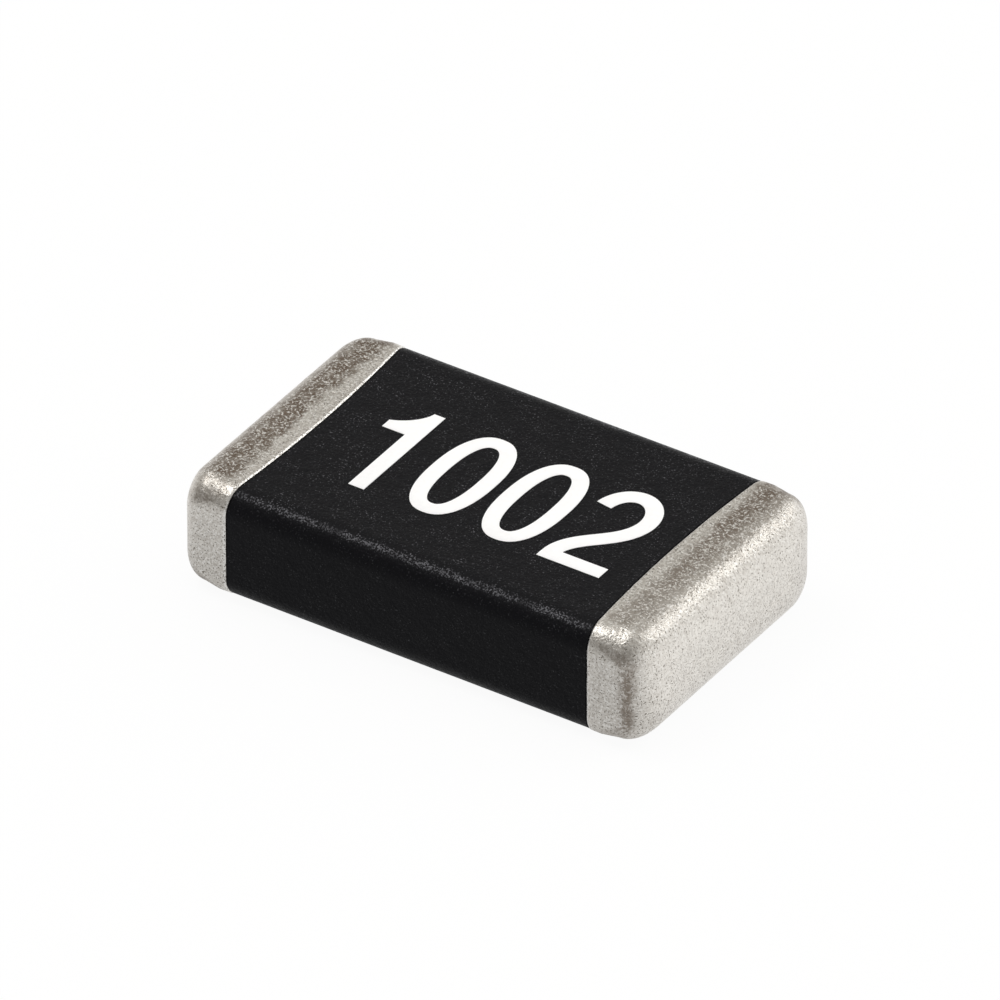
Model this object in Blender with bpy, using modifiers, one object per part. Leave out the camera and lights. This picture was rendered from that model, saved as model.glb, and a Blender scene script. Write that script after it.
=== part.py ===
"""Thick-film chip resistor with five-face terminals, modelled layer by layer.

Metres, +Z up. X runs along the chip from terminal to terminal and Y across it. The origin is the
middle of the chip, the point by which it is placed on a board, and the terminals rest at -HEIGHT / 2.
"""

import math

import bmesh
import bpy
import numpy as np

MM = 0.001

# Overall size over the plated terminals
LENGTH = 1.55 * MM
WIDTH = 0.918 * MM
HEIGHT = 0.358 * MM

# Terminal bands: reach along the long edges, and how much further the dip creeps mid-face
BAND = 0.185 * MM
BAND_BOW = 0.022 * MM

# Rounding: long edges at the seam, edges where the shoulder starts, and the domed shoulder itself
EDGE_RADIUS = 0.076 * MM
SHOULDER_EDGE_RADIUS = 0.095 * MM
SHOULDER_ALONG = 0.100 * MM
SHOULDER_ACROSS = 0.190 * MM
SHOULDER_UP = 0.140 * MM
SHOULDER_FULLNESS = 2.2

# Thickness of each metal layer, from outside to inside
TIN = 0.010 * MM
NICKEL = 0.006 * MM
FACE_PASTE = 0.019 * MM
SIDE_PASTE = 0.024 * MM
END_PASTE = 0.039 * MM

# Plating stands this far above the coat, and rises to it over a short curved lip
PROUD = 0.003 * MM
LIP_RISE = 0.036 * MM
LIP_EDGE = 0.0005 * MM
COAT_EDGE_BREAK = 0.002 * MM

# Printed layers on the substrate
ELECTRODE = 0.009 * MM
ELECTRODE_SETBACK = 0.006 * MM
ELECTRODE_REACH = 0.130 * MM
BOTTOM_ELECTRODE_SHORT = 0.012 * MM
FILM = 0.012 * MM
FILM_WIDTH = 0.560 * MM
FILM_LAP = 0.060 * MM
GLASS = 0.008 * MM
GLASS_MARGIN = 0.022 * MM
PRINT_SLOPE = 0.010 * MM

# Laser trim cut, an L that narrows the film's path
TRIM_KERF = 0.030 * MM
TRIM_PLUNGE = 0.230 * MM
TRIM_RUN = 0.190 * MM
TRIM_OFFSET = 0.090 * MM

# Substrate
SUBSTRATE_EDGE = 0.040 * MM

# Clearances
BOND = 0.002 * MM
SEAM_GAP = 0.002 * MM

# The most of a half width or height that a rounding may take
CORNER_LIMIT = 0.95
SHOULDER_LIMIT = 0.92

# Fineness of the lofted surfaces
CORNER_STEPS = 4
BROAD_STEPS = 4
SIDE_STEPS = 2
LIP_SHARES = (0, 0.25, 1)
OUTER_SHOULDER_STEPS = 6
INNER_SHOULDER_STEPS = 4
SHOULDER_LAST_ANGLE = math.radians(78)
LAST_RADIUS_SHARE = 0.3
SHARP_ANGLE = math.radians(35)

# Worked out from the sizes above
PLATING = TIN + BOND + NICKEL + BOND
SUBSTRATE_LENGTH = LENGTH - 2 * (PLATING + END_PASTE + BOND)
SUBSTRATE_WIDTH = WIDTH - 2 * (PLATING + SIDE_PASTE + BOND)
SUBSTRATE_THICKNESS = HEIGHT - 2 * (PLATING + FACE_PASTE + BOND + ELECTRODE + BOND)
SEAM_AT_EDGES = LENGTH / 2 - BAND
SHOULDER_START = LENGTH / 2 - SHOULDER_ALONG
ELECTRODE_OUTER = SUBSTRATE_LENGTH / 2 - SUBSTRATE_EDGE - ELECTRODE_SETBACK
ELECTRODE_INNER = SEAM_AT_EDGES - ELECTRODE_REACH
ELECTRODE_WIDTH = SUBSTRATE_WIDTH - 2 * (SUBSTRATE_EDGE + ELECTRODE_SETBACK)
PRINT_BASE = SUBSTRATE_THICKNESS / 2 + BOND


def clear_scene():
    for old in list(bpy.data.objects):
        bpy.data.objects.remove(old)


def new_collection(name):
    collection = bpy.data.collections.new(name)
    bpy.context.scene.collection.children.link(collection)
    return collection


def principled(name, color, roughness, metallic):
    material = bpy.data.materials.new(name)
    material.use_nodes = True
    shader = material.node_tree.nodes["Principled BSDF"]
    shader.inputs["Base Color"].default_value = (*color, 1)
    shader.inputs["Roughness"].default_value = roughness
    shader.inputs["Metallic"].default_value = metallic
    material.diffuse_color = (*color, 1)
    return material


def object_from(name, mesh_builder, collection, material=None, rounded=False):
    """A named object from a bmesh, with its normals out. A rounded one is shaded smooth."""
    bmesh.ops.recalc_face_normals(mesh_builder, faces=mesh_builder.faces)
    mesh = bpy.data.meshes.new(name)
    mesh_builder.to_mesh(mesh)
    mesh_builder.free()
    if rounded:
        mesh.shade_smooth()
        mesh.set_sharp_from_angle(angle=SHARP_ANGLE)
    made = bpy.data.objects.new(name, mesh)
    collection.objects.link(made)
    if material:
        mesh.materials.append(material)
    else:
        made.hide_render = True
        made.display_type = "WIRE"
    return made


def box(name, low, high, collection, material=None, inner_slope=0.0, rounded=False):
    """A box between two corners. Its end nearer the middle of the chip can slope back towards the top."""
    low, high = np.minimum(low, high), np.maximum(low, high)
    builder = bmesh.new()
    bmesh.ops.create_cube(builder, size=1)
    bmesh.ops.scale(builder, vec=high - low, verts=builder.verts)
    bmesh.ops.translate(builder, vec=(low + high) / 2, verts=builder.verts)
    side = math.copysign(1, low[0] + high[0])
    inner_end = min(abs(low[0]), abs(high[0]))
    for vertex in builder.verts:
        at_inner_end = math.isclose(abs(vertex.co.x), inner_end, rel_tol=1e-4)
        if inner_slope and at_inner_end and vertex.co.z > (low[2] + high[2]) / 2:
            vertex.co.x += side * inner_slope
    return object_from(name, builder, collection, material, rounded)


def extruded_outline(name, outline, width, collection, material=None):
    """A closed outline of (x, z) points, drawn at one side of the chip and extruded across it."""
    builder = bmesh.new()
    corners = [builder.verts.new((x, -width / 2, z)) for x, z in outline]
    face = builder.faces.new(corners)
    grown = bmesh.ops.extrude_face_region(builder, geom=[face])
    moved = [item for item in grown["geom"] if isinstance(item, bmesh.types.BMVert)]
    bmesh.ops.translate(builder, vec=(0, width, 0), verts=moved)
    return object_from(name, builder, collection, material)


def cut(target, cutters, collection):
    """Takes all the cutters away in one Boolean, so that no cut works on another's result."""
    group = bpy.data.collections.new("cuts in " + target.name)
    collection.children.link(group)
    for cutter in cutters:
        group.objects.link(cutter)
    modifier = target.modifiers.new(group.name, "BOOLEAN")
    modifier.operation = "DIFFERENCE"
    modifier.solver = "EXACT"
    modifier.operand_type = "COLLECTION"
    modifier.collection = group


def section(half_width, half_height, radius):
    """Ring of (y, z) points round a rectangle with rounded corners, the same count for any size."""
    radius = min(radius, CORNER_LIMIT * half_width, CORNER_LIMIT * half_height)
    corners = []
    for quarter, (side_y, side_z) in enumerate(((1, 1), (-1, 1), (-1, -1), (1, -1))):
        angles = math.pi / 2 * (quarter + np.linspace(0, 1, CORNER_STEPS + 1))
        across = side_y * (half_width - radius) + radius * np.cos(angles)
        up = side_z * (half_height - radius) + radius * np.sin(angles)
        corners.append(np.column_stack([across, up]))
    ring = []
    for quarter, corner in enumerate(corners):
        following = corners[(quarter + 1) % 4][0]
        steps = SIDE_STEPS if quarter % 2 else BROAD_STEPS
        shares = np.linspace(0, 1, steps + 1)[1:-1, None]
        ring.append(corner)
        ring.append(corner[-1] + shares * (following - corner[-1]))
    return np.concatenate(ring)


def seam(across):
    """Distance of the seam from the chip's middle, a shallow arc in plan that bows inwards mid-width."""
    return SEAM_AT_EDGES - BAND_BOW * (1 - (across / (WIDTH / 2)) ** 2)


def placed(ring, along):
    """Ring points in 3-D, at a constant or per-point distance along the chip."""
    return np.column_stack([np.broadcast_to(along, len(ring)), ring[:, 0], ring[:, 1]])


def seam_ring(inset, radius, beyond=0.0):
    """Ring on the seam's curved surface, or a constant distance beyond it towards the end face."""
    ring = section(WIDTH / 2 - inset, HEIGHT / 2 - inset, radius)
    return placed(ring, seam(ring[:, 0]) + beyond)


def bore_ring(beyond=0.0):
    """Ring on the seam's curved surface, round the substrate with a bond's clearance."""
    ring = section(SUBSTRATE_WIDTH / 2 + BOND, SUBSTRATE_THICKNESS / 2 + BOND, SUBSTRATE_EDGE + BOND)
    return placed(ring, seam(ring[:, 0]) + beyond)


def pocket_rings():
    """Rings of the pocket that the substrate's tumbled end sits in, with a bond's clearance."""
    radius = SUBSTRATE_EDGE + BOND
    rings = []
    for angle in np.linspace(0, math.pi / 2, CORNER_STEPS + 1):
        drop = radius * (1 - math.cos(angle))
        ring = section(
            SUBSTRATE_WIDTH / 2 + BOND - drop,
            SUBSTRATE_THICKNESS / 2 + BOND - drop,
            max(radius * math.cos(angle), BOND),
        )
        rings.append(placed(ring, SUBSTRATE_LENGTH / 2 + BOND - radius * (1 - math.sin(angle))))
    return rings


def lip_rings():
    """The tin's visible lip: it curves up from the coat to the full height of the plating."""
    rise = min(LIP_RISE, (BAND - SHOULDER_ALONG) / 2)
    rings = []
    for share in LIP_SHARES:
        drop = (PROUD - LIP_EDGE) * (1 - share) ** 2
        rings.append(seam_ring(drop, EDGE_RADIUS - drop, share * rise))
    return rings


def shoulder_rings(inset, steps):
    """Rings over the shoulder and domed end, a superellipse in plan and in side view."""
    half_width = WIDTH / 2 - inset
    half_height = HEIGHT / 2 - inset
    reach_across = min(SHOULDER_ACROSS - inset, SHOULDER_LIMIT * half_width)
    reach_up = min(SHOULDER_UP - inset, SHOULDER_LIMIT * half_height)
    power = 2 / SHOULDER_FULLNESS
    furthest = math.sin(SHOULDER_LAST_ANGLE) ** power
    rings = []
    for angle in np.linspace(0, SHOULDER_LAST_ANGLE, steps + 1):
        outward = math.sin(angle) ** power / furthest
        fullness = math.cos(angle) ** power
        radius = (SHOULDER_EDGE_RADIUS - inset) * (LAST_RADIUS_SHARE + (1 - LAST_RADIUS_SHARE) * fullness)
        ring = section(
            half_width - reach_across * (1 - fullness),
            half_height - reach_up * (1 - fullness),
            radius,
        )
        rings.append(placed(ring, SHOULDER_START + (SHOULDER_ALONG - inset) * outward))
    return rings


def layer_rings(inset):
    """Rings of a hidden layer's surface, from the seam to its end face."""
    return [seam_ring(inset, EDGE_RADIUS - inset)] + shoulder_rings(inset, INNER_SHOULDER_STEPS)


def loft(name, rings, side, collection, material, sleeve=False):
    """One body through rings of equal count. Side -1 mirrors it in X. Its ends are flat faces, or
    in a sleeve the last ring joins the first."""
    builder = bmesh.new()
    loops = []
    for ring in rings:
        points = ring * (side, 1, 1)
        loops.append([builder.verts.new(point) for point in points])
    count = len(loops[0])
    following = loops[1:] + loops[:1] if sleeve else loops[1:]
    for near, far in zip(loops, following):
        for i in range(count):
            j = (i + 1) % count
            builder.faces.new((near[i], near[j], far[j], far[i]))
    if not sleeve:
        builder.faces.new(loops[0])
        builder.faces.new(loops[-1])
    return object_from(name, builder, collection, material, rounded=True)


def substrate(name, collection, material):
    half = np.array([SUBSTRATE_LENGTH, SUBSTRATE_WIDTH, SUBSTRATE_THICKNESS]) / 2
    made = box(name, -half, half, collection, material, rounded=True)
    rounding = made.modifiers.new("tumbled edges", "BEVEL")
    rounding.width = SUBSTRATE_EDGE
    rounding.segments = CORNER_STEPS
    return made


def top_electrode(name, side, grow, collection, material=None):
    half_width = ELECTRODE_WIDTH / 2 + grow
    low = np.array([side * (ELECTRODE_INNER - grow), -half_width, PRINT_BASE - 3 * grow])
    high = np.array([side * (ELECTRODE_OUTER + grow), half_width, PRINT_BASE + ELECTRODE + grow])
    return box(name, low, high, collection, material, PRINT_SLOPE)


def bottom_electrode(name, side, grow, collection, material=None):
    inner = SEAM_AT_EDGES + BOTTOM_ELECTRODE_SHORT
    half_width = ELECTRODE_WIDTH / 2 + grow
    low = np.array([side * (inner - grow), -half_width, -PRINT_BASE - ELECTRODE - grow])
    high = np.array([side * (ELECTRODE_OUTER + grow), half_width, -PRINT_BASE + 3 * grow])
    return box(name, low, high, collection, material)


def trim_cutters(name, kerf, collection):
    """The two strokes of the laser: a plunge across the film and a run along it."""
    low_z = 0
    high_z = HEIGHT
    plunge_end = FILM_WIDTH / 2 - TRIM_PLUNGE
    outside = FILM_WIDTH
    plunge = box(
        name + "_plunge",
        np.array([TRIM_OFFSET - kerf / 2, plunge_end - kerf / 2, low_z]),
        np.array([TRIM_OFFSET + kerf / 2, outside, high_z]),
        collection,
    )
    run = box(
        name + "_run",
        np.array([TRIM_OFFSET - TRIM_RUN - kerf / 2, plunge_end - kerf / 2, low_z]),
        np.array([TRIM_OFFSET - kerf / 4, plunge_end + kerf / 2, high_z]),
        collection,
    )
    return [plunge, run]


def stepped_outline(half_length, thickness, below):
    """Side view of a printed layer that lies on the substrate and climbs onto both electrodes."""
    low_top = PRINT_BASE + thickness
    high_top = low_top + BOND + ELECTRODE
    right = [
        (half_length, PRINT_BASE - below),
        (half_length, high_top - thickness / 2),
        (half_length - thickness / 2, high_top),
        (ELECTRODE_INNER + PRINT_SLOPE - thickness / 4, high_top),
        (ELECTRODE_INNER - thickness / 2, low_top),
    ]
    left = [(-x, z) for x, z in reversed(right)]
    return right + left


def film_block(name, grow, collection, material=None):
    outline = stepped_outline(ELECTRODE_INNER + FILM_LAP + grow, FILM + grow, 2 * grow)
    return extruded_outline(name, outline, FILM_WIDTH + 2 * grow, collection, material)


def glass_block(name, grow, collection, material=None):
    reach = ELECTRODE_INNER + FILM_LAP + GLASS_MARGIN
    outline = stepped_outline(reach + grow, FILM + BOND + GLASS + grow, 2 * grow)
    return extruded_outline(name, outline, FILM_WIDTH + 2 * (GLASS_MARGIN + grow), collection, material)


def tin_cap(name, side, collection, material):
    outer = lip_rings() + shoulder_rings(0.0, OUTER_SHOULDER_STEPS)
    return loft(name, outer[::-1] + layer_rings(TIN), side, collection, material)


def nickel_barrier(name, side, collection, material):
    outer = layer_rings(TIN + BOND)
    return loft(name, outer[::-1] + layer_rings(TIN + BOND + NICKEL), side, collection, material)


def end_electrode(name, side, collection, material):
    """The silver dip, a cup round the substrate's end."""
    inner = [bore_ring()] + pocket_rings()
    return loft(name, layer_rings(PLATING)[::-1] + inner, side, collection, material)


def body_coat(name, collection, material):
    """The black sleeve between the seams."""
    back = -SEAM_GAP
    right = [
        bore_ring(back),
        seam_ring(PROUD + COAT_EDGE_BREAK, EDGE_RADIUS - PROUD - COAT_EDGE_BREAK, back),
        seam_ring(PROUD, EDGE_RADIUS - PROUD, back - 2 * COAT_EDGE_BREAK),
    ]
    left = [ring * (-1, 1, 1) for ring in reversed(right)]
    return loft(name, right + left, 1, collection, material, sleeve=True)


def build():
    clear_scene()
    parts = new_collection("smd_chip_resistor")
    cutters = new_collection("cutters")

    alumina = principled("alumina_ceramic", (0.86, 0.85, 0.82), 0.55, 0.0)
    silver_print = principled("silver_palladium_print", (0.62, 0.61, 0.58), 0.45, 1.0)
    resistive = principled("ruthenium_oxide_film", (0.03, 0.03, 0.035), 0.5, 0.0)
    glaze = principled("trim_glaze", (0.10, 0.22, 0.16), 0.2, 0.0)
    epoxy = principled("black_epoxy_coat", (0.012, 0.012, 0.013), 0.5, 0.0)
    silver_dip = principled("silver_dip", (0.70, 0.69, 0.66), 0.5, 1.0)
    nickel = principled("nickel_plate", (0.55, 0.52, 0.47), 0.35, 1.0)
    tin = principled("matt_tin_plate", (0.66, 0.64, 0.60), 0.48, 1.0)

    substrate("ceramic_substrate", parts, alumina)
    film_space = film_block("film_space", BOND, cutters)
    glass_space = glass_block("glass_space", BOND, cutters)
    cut(glass_space, trim_cutters("trim_fill", TRIM_KERF - 2 * BOND, cutters), cutters)

    top_spaces = []
    for side, word in ((-1, "left"), (1, "right")):
        top_electrode("top_electrode_" + word, side, 0.0, parts, silver_print)
        bottom_electrode("bottom_electrode_" + word, side, 0.0, parts, silver_print)
        top_space = top_electrode("top_space_" + word, side, BOND, cutters)
        bottom_space = bottom_electrode("bottom_space_" + word, side, BOND, cutters)
        dip = end_electrode("end_electrode_" + word, side, parts, silver_dip)
        cut(dip, [top_space, bottom_space], cutters)
        nickel_barrier("nickel_barrier_" + word, side, parts, nickel)
        tin_cap("tin_cap_" + word, side, parts, tin)
        top_spaces.append(top_space)

    trim = trim_cutters("trim_cut", TRIM_KERF, cutters)
    film = film_block("resistive_film", 0.0, parts, resistive)
    cut(film, top_spaces + trim, cutters)
    glass = glass_block("glass_overcoat", 0.0, parts, glaze)
    cut(glass, [film_space] + top_spaces + trim, cutters)
    coat = body_coat("body_coat", parts, epoxy)
    cut(coat, [glass_space] + top_spaces, cutters)


build()
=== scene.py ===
"""Looks of a surface-mount chip resistor: frosted tin terminals, a black epoxy coat and a printed code.

Metres, +Z up. X runs along the chip from terminal to terminal. The origin is the chip's middle.
"""

import itertools
import math

import bmesh
import bpy
import numpy as np
from bpy.props import FloatProperty, FloatVectorProperty, PointerProperty, StringProperty
from bpy.types import Operator, Panel, PropertyGroup
from mathutils import Matrix, Vector


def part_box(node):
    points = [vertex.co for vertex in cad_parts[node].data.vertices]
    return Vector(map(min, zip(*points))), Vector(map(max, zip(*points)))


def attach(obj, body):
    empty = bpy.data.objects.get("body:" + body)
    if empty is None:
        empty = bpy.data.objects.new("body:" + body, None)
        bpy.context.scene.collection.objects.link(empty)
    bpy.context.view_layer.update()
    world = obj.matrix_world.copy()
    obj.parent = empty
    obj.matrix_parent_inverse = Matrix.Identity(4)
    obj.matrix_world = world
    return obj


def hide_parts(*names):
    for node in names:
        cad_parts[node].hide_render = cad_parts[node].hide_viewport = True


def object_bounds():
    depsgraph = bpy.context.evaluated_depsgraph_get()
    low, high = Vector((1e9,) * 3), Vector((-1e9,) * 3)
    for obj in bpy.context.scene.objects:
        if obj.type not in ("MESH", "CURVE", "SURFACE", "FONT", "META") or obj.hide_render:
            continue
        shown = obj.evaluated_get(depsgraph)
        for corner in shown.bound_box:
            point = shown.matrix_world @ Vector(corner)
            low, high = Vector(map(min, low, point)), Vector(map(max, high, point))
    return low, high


bl_info = {
    "name": "Chip Resistor Looks",
    "version": (1, 0, 0),
    "blender": (4, 5, 0),
    "location": "View3D > Sidebar > Chip",
    "description": "Plated terminals, coat and marking of a surface-mount chip resistor",
    "category": "Object",
}

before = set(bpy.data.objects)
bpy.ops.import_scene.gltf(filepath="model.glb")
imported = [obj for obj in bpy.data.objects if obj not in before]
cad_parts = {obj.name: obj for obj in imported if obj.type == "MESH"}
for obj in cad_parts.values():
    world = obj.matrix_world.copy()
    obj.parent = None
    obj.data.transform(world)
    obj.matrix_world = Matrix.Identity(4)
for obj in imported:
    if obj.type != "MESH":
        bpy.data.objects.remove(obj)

MM = 0.001
BODY = "root"

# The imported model's box, and the places read from it
CAD_LOW, CAD_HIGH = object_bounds()
COAT_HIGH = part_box("body_coat")[1]
GLASS_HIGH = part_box("glass_overcoat")[1]
CORE_LOW, CORE_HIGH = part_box("ceramic_substrate")
HALF_LENGTH = CAD_HIGH[0]
HALF_WIDTH = CAD_HIGH[1]
HALF_HEIGHT = CAD_HIGH[2]
COAT_HALF_HEIGHT = COAT_HIGH[2]
# Clearance between layers, and between the coat and a terminal at their seam
BOND = 0.002 * MM
SEAM_GAP = 0.002 * MM

# Columns round a ring: half a narrow side, a corner, half a broad side
CAP_COLUMNS = (40, 32, 110)
COAT_COLUMNS = (22, 16, 66)
# Rows along the chip, of a terminal's zones and of the coat
LIP_ROWS = 11
BAND_ROWS = 12
SHOULDER_ROWS = 56
PATCH_ROWS = 14
INNER_ROWS = 12
COAT_ROWS = 150
# Rows of the coat beside each seam; those beside the left terminal carry the painted shadow of the seam's
# gap
SHADOW_ROW_DISTANCES = np.array([0, 0.0015, 0.003, 0.0045, 0.006]) * MM
# Rounding of the coat's bore
BORE_RADIUS = 0.042 * MM
# The angle at which the shoulder's rows end, and the share of its edge radius that is left there
SHOULDER_LAST = math.radians(88)
LAST_RADIUS_SHARE = 0.3
# Steps in which the shoulder's curve is measured to space its rows
CURVE_STEPS = 2000
# The largest edge radius, as a share of half the height
CORNER_LIMIT = 0.95
# Edges that turn more than this stay sharp
SHARP_ANGLE = math.radians(40)
# Widths of the coarse and the fine swells in the plating and in the coat
TIN_SWELLS = (0.055 * MM, 0.024 * MM)
COAT_SWELLS = (0.060 * MM, 0.028 * MM)
# Bevel round the printed ink, and the distance under which its points merge, in millimetres
INK_BEVEL = 0.0006
MERGE_DISTANCE = 0.00002
# How much further from the seam the dull ring starts on the narrow sides, in millimetres
SIDE_STEP = 0.105
# What the chip mirrors of the room: its back, its bright part low at the right, and its front
ROOM_BACK = "#cfcdc9"
ROOM_LOW_RIGHT = "#ffffff"
ROOM_FRONT = "#93918e"
# Half the width of the ground sheet, and how far the lamps stand from the chip's middle
GROUND_REACH = 0.4
LAMP_DISTANCE = 60 * MM
# The camera's sensor in its own unit, millimetres
SENSOR_WIDTH = 36

# Odd numbers that mix a lattice corner's counts into one repeatable random number
LATTICE_MIXERS = np.array([73856093, 19349663, 83492791], dtype=np.uint64)
SEED_MIXER = np.uint64(2654435761)
LATTICE_BITS = np.uint64(0xFFFF)


def linear(hex_text):
    """Linear colour from an sRGB hex text: a straight toe, then the power of 2.4."""
    shares = [int(hex_text[i:i + 2], 16) / 255 for i in (1, 3, 5)]
    return [s / 12.92 if s <= 0.04045 else ((s + 0.055) / 1.055) ** 2.4 for s in shares]


def length(name, description, millimetres):
    """A length property, kept in metres."""
    return FloatProperty(
        name=name, description=description, default=millimetres * MM, unit="LENGTH", precision=6)


def tint(name, description, hex_text):
    """A colour property, kept as linear colour."""
    return FloatVectorProperty(
        name=name, description=description, subtype="COLOR", default=linear(hex_text))


class ChipSizes(PropertyGroup):
    """Sizes of the plated terminals and the coat."""

    band: length("Band", "Reach of a terminal along the chip's long edges", 0.185)
    band_bow: length("Band Bow", "How much further the terminal creeps mid-face", 0.022)
    edge_radius: length("Edge Radius", "Rounding of the long edges at the seam", 0.076)
    shoulder_edge_radius: length(
        "Shoulder Edge Radius", "Rounding of the long edges where the shoulder starts", 0.095)
    shoulder_along: length("Shoulder Along", "Length of the domed shoulder along the chip", 0.100)
    shoulder_across: length("Shoulder Across", "How far the shoulder draws in across the chip", 0.190)
    shoulder_up: length("Shoulder Up", "How far the shoulder draws in over the height", 0.140)
    fullness: FloatProperty(
        name="Shoulder Fullness", description="Exponent of the shoulder's superellipse; 2 is an ellipse",
        default=2.2, min=1.5, max=4)
    tin: length("Tin", "Thickness of the tin plating", 0.010)
    lip_rise: length("Lip Rise", "Width over which the plating rises from the coat", 0.036)
    lip_slope: length("Lip Slope", "Depth of the shallow slope of the lip", 0.0005)
    lip_slant_width: length("Lip Slant Width", "Width of the slant at the plating's very edge", 0.0042)
    lip_slant_depth: length("Lip Slant Depth", "Depth of the slant at the plating's very edge", 0.0034)
    tin_relief: length("Tin Relief", "Depth of the plating's soft unevenness", 0.0007)
    coat_relief: length("Coat Relief", "Depth of the coat's orange peel", 0.0005)


class ChipColors(PropertyGroup):
    """Colours of the finishes that show."""

    tin: tint("Tin", "Clean matt tin", "#e0dcd5")
    # Painted highlight: the colour of the glints on the crystals' crests and of the lip's bright line
    tin_glint: tint("Crest", "Crests of the tin's crystals", "#faf8f4")
    # Partly tarnish, partly painted shade: the colour of the dark ring and of the facets turned from the
    # light
    tin_tarnish_and_shade: tint("Tarnish", "Tin where the barrel and flux have stained it", "#786a5d")
    # Painted shade at the bottom of each pit
    tin_pit_shade: tint("Pit", "Bottom of a pit in the tin", "#8c857c")
    coat: tint("Coat", "Black epoxy coat", "#0e0e11")
    # Also the colour of the painted highlight along the coat's upper edges
    coat_speck_and_sheen: tint("Filler Speck", "Mineral filler that shows in the coat", "#646468")
    ink: tint("Ink", "White marking ink", "#fafafa")


class ChipMarking(PropertyGroup):
    """The value code printed on the coat."""

    code: StringProperty(name="Code", description="Digits of a generic value code", default="1002")
    digit_height: length("Digit Height", "Height of a digit", 0.407)
    digit_width: length("Digit Width", "Width of a round digit", 0.203)
    stroke: length("Stroke", "Width of an upright stroke", 0.051)
    pitch: length("Pitch", "Distance between digits", 0.2366)
    along: length("Along", "Middle of the code along the chip", 0.0197)
    across: length("Across", "Middle of the code across the chip", -0.0185)
    ink_film: length("Ink Film", "Height of the dry ink above the coat", 0.0015)


class ChipStudio(PropertyGroup):
    """Camera, lamps and ground."""

    azimuth: FloatProperty(
        name="Azimuth", description="Camera's turn round the chip",
        default=math.radians(33.28), unit="ROTATION")
    elevation: FloatProperty(
        name="Elevation", description="Camera's height angle",
        default=math.radians(34.97), unit="ROTATION")
    distance: length("Distance", "Camera's distance from the chip's middle", 68.6)
    frame_width: length("Frame Width", "Width of the picture at the chip's middle", 2.7392)
    aim_right: length("Aim Right", "How far right of the chip's middle the camera aims", 0.0081)
    aim_up: length("Aim Up", "How far above the chip's middle the camera aims", 0.1010)
    front_lamp: FloatProperty(
        name="Front Lamp", description="Radiance of the softbox overhead, to the left", default=3.1)
    back_lamp: FloatProperty(
        name="Back Lamp", description="Radiance of the softbox behind the right end", default=1.9)
    fill_lamp: FloatProperty(
        name="Fill Lamp", description="Radiance of the wide sheet of light straight above", default=0.92)
    floor: tint("Floor", "White ground", "#f4f4f4")


def lattice_values(corners, seed):
    """A repeatable number from 0 to 1 for each whole-numbered lattice corner: its three counts are
    multiplied by large odd numbers and added, the sum is folded on itself, and its low bits are kept."""
    counts = corners.astype(np.int64).astype(np.uint64)
    mixed = (counts * LATTICE_MIXERS).sum(axis=-1) + np.uint64(seed) * SEED_MIXER
    mixed = (mixed ^ (mixed >> np.uint64(15))) * SEED_MIXER
    mixed = mixed ^ (mixed >> np.uint64(17))
    return (mixed & LATTICE_BITS) / float(LATTICE_BITS)


def cloud(points, cell, seed):
    """Smooth value noise from 0 to 1: each point blends the random values at the corners of its
    lattice cell, weighted by the smoothstep of its place in the cell."""
    spaced = points / cell
    base = np.floor(spaced)
    part = spaced - base
    blend = part * part * (3 - 2 * part)
    total = np.zeros(points.shape[:-1])
    for corner in itertools.product((0, 1), repeat=3):
        weights = np.where(np.array(corner) == 1, blend, 1 - blend).prod(axis=-1)
        total += weights * lattice_values(base + np.array(corner), seed)
    return total


def section(half_width, half_height, radius, columns):
    """Rings of (y, z) points round rounded rectangles, one row for each size given.

    A point is its share of the corner's centre plus the radius times a direction. On a straight side
    the share runs linearly and the direction stays; on a corner the share stays and the direction
    turns. The upper half is worked out from back to front, and the lower half mirrors it."""
    side_count, corner_count, broad_count = columns
    rise = np.arange(side_count) / side_count
    turn = math.pi / 2 * np.arange(corner_count) / corner_count
    run = 1 - np.arange(broad_count) / broad_count
    share_y = np.concatenate([np.ones(side_count), np.ones(corner_count), run])
    share_z = np.concatenate([rise, np.ones(corner_count), np.ones(broad_count)])
    point_y = np.concatenate([np.ones(side_count), np.cos(turn), np.zeros(broad_count)])
    point_z = np.concatenate([np.zeros(side_count), np.sin(turn), np.ones(broad_count)])
    quarter = np.stack([share_y, share_z, point_y, point_z])
    top_middle = np.array([[0.0], [1.0], [0.0], [1.0]])
    other = quarter[:, ::-1] * np.array([[-1], [1], [-1], [1]])
    upper = np.concatenate([quarter, top_middle, other], axis=1)
    lower = upper[:, -2:0:-1] * np.array([[1], [-1], [1], [-1]])
    share_y, share_z, point_y, point_z = np.concatenate([upper, lower], axis=1)
    sizes = (half_width, half_height, radius)
    half_width, half_height, radius = (np.reshape(size, (-1, 1)) for size in sizes)
    across = share_y * (half_width - radius) + point_y * radius
    up = share_z * (half_height - radius) + point_z * radius
    return across, up


def seam(across, sizes):
    """Distance of the seam from the chip's middle: a parabola that bows inwards mid-width."""
    return HALF_LENGTH - sizes.band - sizes.band_bow * (1 - (across / HALF_WIDTH) ** 2)


def even_angles(sizes, inset, count):
    """Angles of the shoulder's superellipse that space its rows evenly along the surface."""
    angles = np.linspace(0, SHOULDER_LAST, CURVE_STEPS)
    power = 2 / sizes.fullness
    along = (sizes.shoulder_along - inset) * np.sin(angles) ** power
    drawn = (sizes.shoulder_across - inset) * (1 - np.cos(angles) ** power)
    walked = np.concatenate([[0], np.cumsum(np.hypot(np.diff(along), np.diff(drawn)))])
    return np.interp(np.linspace(0, walked[-1], count), walked, angles)


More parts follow.
